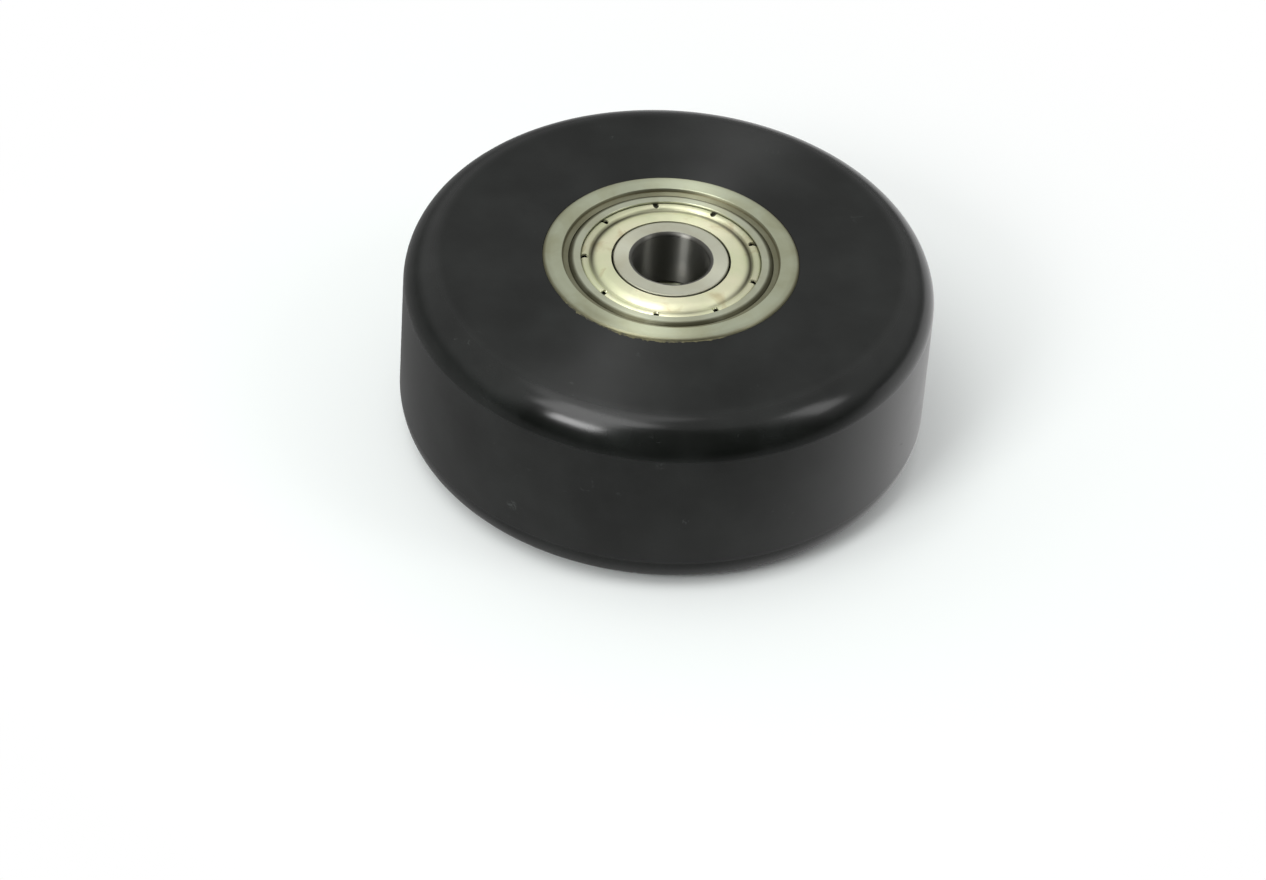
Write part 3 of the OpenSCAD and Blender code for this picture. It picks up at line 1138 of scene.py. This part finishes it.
@dataclass
class BearingPair:
    """The two equal bearings, one at each end of the sleeve, and the finishes that they share."""

    # The outer rings are an even satin grey, and their ground faces draw the lamps out into a streak across them
    ring_finish: MachinedSteel = MachinedSteel(
        name="ground_bearing_steel",
        colour="#c8ccb5",
        stain="#a39c74",
        roughness=0.40,
        anisotropy=0.80,
        ring_spacing=0.4,
        ring_height=0.0008,
        grime_and_shade="#4b4833",
    )
    # The inner rings are paler, and their highlights run round the ring
    inner_finish: MachinedSteel = MachinedSteel(
        name="ground_bearing_steel_inner",
        colour="#d8d9c5",
        stain="#b0a684",
        roughness=0.36,
        anisotropy=0.62,
        ring_spacing=0.4,
        ring_height=0.0006,
        grime_and_shade="#4b4833",
        grain=0.0,
    )
    # The bores are painted darker, as shade inside them, and the fine marks round them draw each lamp out into one
    # upright streak
    bore_finish: MachinedSteel = MachinedSteel(
        name="honed_bearing_bore",
        colour="#90908a",
        stain="#7c776a",
        roughness=0.34,
        anisotropy=1.0,
        ring_spacing=0.4,
        ring_height=0.0006,
    )
    shield_finish: PressedZincSteel = PressedZincSteel()

    def build(self) -> None:
        """Makes each finish once and both bearings with them."""
        finishes = (self.ring_finish, self.inner_finish, self.bore_finish, self.shield_finish)
        steels = [finish.material() for finish in finishes]
        for side in Side:
            Bearing(side, *steels).build()


@dataclass
class RunningParts:
    """The balls, cages and rivets, which keep their CAD shape and get a finish."""

    cage: MachinedSteel = MachinedSteel(
        name="pressed_cage_steel",
        colour="#a9a698",
        stain="#7c7258",
        roughness=0.36,
        anisotropy=0.0,
        ring_spacing=0.8,
        ring_height=0.0004,
        stain_size=3.0,
    )
    ball: LappedChromeSteel = LappedChromeSteel()

    def dress(self) -> None:
        """Gives each CAD node that still shows its finish, in the material slots that it has."""
        cage_steel, ball_steel = self.cage.material(), self.ball.material()
        for name, node in sorted(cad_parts.items()):
            if node.hide_render:
                continue
            is_ball = "_ball_" in name
            for slot in node.material_slots:
                slot.material = ball_steel if is_ball else cage_steel
            LOG.info("%s: keeps its CAD shape", name)


@dataclass
class Lamp:
    """A soft box that shines white at the wheel."""

    name: str
    direction: tuple[float, float, float]
    width: float
    height: float
    radiance: float
    distance: float = 1.1

    def build(self) -> None:
        """Makes the lamp; its power is its radiance times its area times pi."""
        data = bpy.data.lights.new(self.name, "AREA")
        data.shape = "RECTANGLE"
        data.size, data.size_y = self.width, self.height
        data.energy = self.radiance * self.width * self.height * math.pi
        lamp = bpy.data.objects.new(self.name, data)
        toward = Vector(self.direction).normalized()
        lamp.location = toward * self.distance
        lamp.rotation_mode = "QUATERNION"
        lamp.rotation_quaternion = toward.to_track_quat("Z", "Y")
        bpy.context.scene.collection.objects.link(lamp)


@dataclass
class Studio:
    """White floor, soft room and lamps, and the camera at the photograph's angle.

    The floor's ranges are distances from the wheel's middle in metres: all round, to the right and to the back.
    The room's ranges are parts of a direction of length 1.
    """

    floor_height: float = -0.0163
    floor_size: float = 12.0
    floor_colour: str = "#f1f6f4"
    white: str = "#ffffff"
    under_wheel: Range = (0.040, 0.045)
    seen_glow: Range = (0.05, 0.13, 0.20, 1.0)
    glow_rightward: Range = (-0.05, 0.04)
    glow_beside: Range = (-0.07, 0.0)
    glow_backward: Range = (-0.14, -0.06)
    left_glow: float = 0.29
    room_light: float = 0.62
    room_front: float = 0.05
    room_backward: Range = (-0.58, -0.28)
    room_upward: Range = (0.05, 0.45, 0.30)
    azimuth: float = -2.729
    elevation: float = 41.225
    roll: float = 4.136
    distance: float = 0.81486
    aim: tuple[float, float, float] = (-0.005074, -0.024885, 0.0)
    lens: float = 150.65
    sensor: float = 36.0
    clip: tuple[float, float] = (0.01, 50.0)
    lamps: tuple[Lamp, ...] = field(
        default_factory=lambda: (
            Lamp("left_window", (-0.51, -0.64, 0.585), 0.35, 0.30, 15.0),
            Lamp("left_skylight", (-0.33, -0.32, 0.89), 0.54, 0.60, 3.8),
            Lamp("right_window", (0.70, -0.20, 0.68), 0.26, 0.50, 2.9),
            Lamp("overhead_box", (-0.16, 0.10, 1.0), 0.50, 0.50, 1.5),
        )
    )

    def floor_material(self) -> Material:
        """Builds the floor's paper: white to the camera and in reflections, with the wheel's shadow kept.

        A camera ray sees the lit paper mixed with a plain glow, whose share grows from the wheel outwards. A
        reflection sees a glow that grows to the right and back, because the room is dark to the left and in front.

        Returns:
            The material.
        """
        material, tree, place = new_material("white_backdrop_paper")
        smooth = {"interpolation_type": "SMOOTHSTEP"}
        x, y, _ = add(tree, "SeparateXYZ", {"Vector": place}).outputs
        reach = add(tree, "VectorMath", {0: place}, operation="LENGTH").outputs["Value"]
        open_floor = add(tree, "MapRange", {"Value": reach}, self.under_wheel)
        seen_share = add(tree, "MapRange", {"Value": reach}, self.seen_glow, **smooth)
        rightward = add(tree, "MapRange", {"Value": x}, self.glow_rightward)
        beside = add(tree, "MapRange", {"Value": y}, self.glow_beside, **smooth)
        backward = add(tree, "MapRange", {"Value": y}, self.glow_backward, **smooth)
        rightward = add(tree, "Math", {0: rightward, 1: beside}, operation="MULTIPLY")
        rightward = add(tree, "MapRange", {"Value": rightward}, (0.0, 1.0, self.left_glow))
        mirrored_glow = add(tree, "Math", {0: rightward, 1: backward}, operation="MULTIPLY")
        mirrored_glow = add(tree, "Math", {0: mirrored_glow, 1: open_floor}, operation="MULTIPLY")
        seen_share = add(tree, "Math", {0: seen_share, 1: open_floor}, operation="MULTIPLY")
        ray = add(tree, "LightPath").outputs
        seen = ray["Is Camera Ray"]
        mirrored = add(tree, "Math", {0: ray["Is Glossy Ray"], 1: ray["Is Transmission Ray"]}, operation="ADD")
        factor = add(tree, "Math", {0: seen, 1: seen_share, 2: mirrored}, operation="MULTIPLY_ADD")
        strength = add(tree, "Math", {0: mirrored, 1: mirrored_glow, 2: seen}, operation="MULTIPLY_ADD")
        paper = add(tree, "BsdfDiffuse", {"Color": linear(self.floor_colour)})
        glow = add(tree, "Emission", {"Color": linear(self.white), "Strength": strength})
        add(tree, "OutputMaterial", {"Surface": add(tree, "MixShader", {0: factor, 1: paper, 2: glow})})
        return material

    def build_floor(self) -> None:
        """Lays the floor, a square of four points at the height of the sleeve's end."""
        half, z = self.floor_size / 2, self.floor_height
        corners = [(-half, -half, z), (half, -half, z), (half, half, z), (-half, half, z)]
        mesh = bpy.data.meshes.new("floor")
        mesh.from_pydata(corners, [], [(0, 1, 2, 3)])
        mesh.materials.append(self.floor_material())
        floor = bpy.data.objects.new("floor", mesh)
        bpy.context.scene.collection.objects.link(floor)

    def build_room(self) -> None:
        """Lights the room: bright behind and above, dim in front and near the floor, and white to the camera.

        The brightness of a direction is the front's, plus the room's times two shares, which rise smoothly with
        how far the direction points back and up.
        """
        world = bpy.data.worlds.new("studio_room")
        world.use_nodes = True
        tree = world.node_tree
        tree.nodes.clear()
        toward = add(tree, "TexCoord").outputs["Generated"]
        _, y, z = add(tree, "SeparateXYZ", {"Vector": toward}).outputs
        back, high = (
            add(tree, "MapRange", {"Value": part}, bounds, interpolation_type="SMOOTHSTEP")
            for part, bounds in ((y, self.room_backward), (z, self.room_upward))
        )
        level = add(tree, "Math", {0: back, 1: high}, operation="MULTIPLY")
        level = add(tree, "Math", {0: level, 1: self.room_light, 2: self.room_front}, operation="MULTIPLY_ADD")
        room, backdrop = (
            add(tree, "Background", {"Color": linear(self.white), "Strength": strength}) for strength in (level, 1.0)
        )
        camera = add(tree, "LightPath").outputs["Is Camera Ray"]
        add(tree, "OutputWorld", {"Surface": add(tree, "MixShader", {0: camera, 1: room, 2: backdrop})})
        bpy.context.scene.world = world

    def build_camera(self) -> None:
        """Puts the camera on a sphere round its aim, turned about its own axis by the roll."""
        data = bpy.data.cameras.new("camera")
        data.lens, data.sensor_width = self.lens, self.sensor
        data.clip_start, data.clip_end = self.clip
        camera = bpy.data.objects.new("camera", data)
        a, e = math.radians(self.azimuth), math.radians(self.elevation)
        back = Vector((math.sin(a) * math.cos(e), -math.cos(a) * math.cos(e), math.sin(e)))
        place = Matrix.Translation(Vector(self.aim) + back * self.distance)
        facing = (-back).to_track_quat("-Z", "Y").to_matrix().to_4x4()
        camera.matrix_world = place @ facing @ Matrix.Rotation(math.radians(self.roll), 4, "Z")
        bpy.context.scene.collection.objects.link(camera)
        bpy.context.scene.camera = camera

    def build(self) -> None:
        """Makes the camera, the floor, the room and the lamps."""
        self.build_camera()
        self.build_floor()
        self.build_room()
        for lamp in self.lamps:
            lamp.build()
        bpy.context.scene.view_settings.view_transform = "Standard"


def main() -> None:
    """Builds the studio and then each piece of the wheel."""
    logging.basicConfig(level=logging.INFO, format="%(name)s: %(message)s")
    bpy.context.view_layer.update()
    for part in (Studio(), WheelBody(), AdhesiveFillet(), Hub(), BearingPair()):
        part.build()
    RunningParts().dress()


if __name__ == "__main__":
    main()
